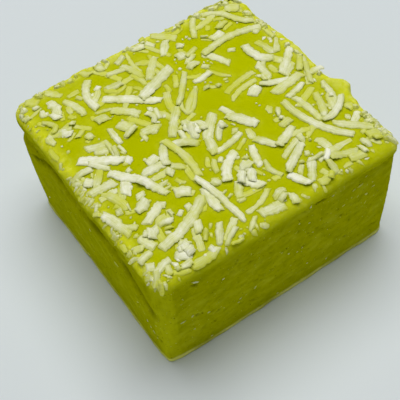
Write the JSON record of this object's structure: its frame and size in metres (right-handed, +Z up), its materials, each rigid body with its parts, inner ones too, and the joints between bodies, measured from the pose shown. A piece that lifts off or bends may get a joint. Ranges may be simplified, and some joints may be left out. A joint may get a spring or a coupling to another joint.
{
  "type": "fudge square",
  "caption": "Hand-cut square of lime fudge with a poured top strewn with shredded coconut.",
  "frame": {"origin": "middle of the outline, on the surface that the square rests on", "axes": "+Z up through the strewn top, -Y the knife-cut front face, -X the creased left face"},
  "size_m": [0.0534, 0.0516, 0.0285],
  "materials": {
    "lime_fudge": "waxy, faintly translucent lime-green fudge with a soft sheen",
    "coconut": "dry off-white shredded coconut, tinted green where it has soaked"
  },
  "bodies": {
    "root": {"fudge_square": "lime_fudge"}
  },
  "joints": []
}
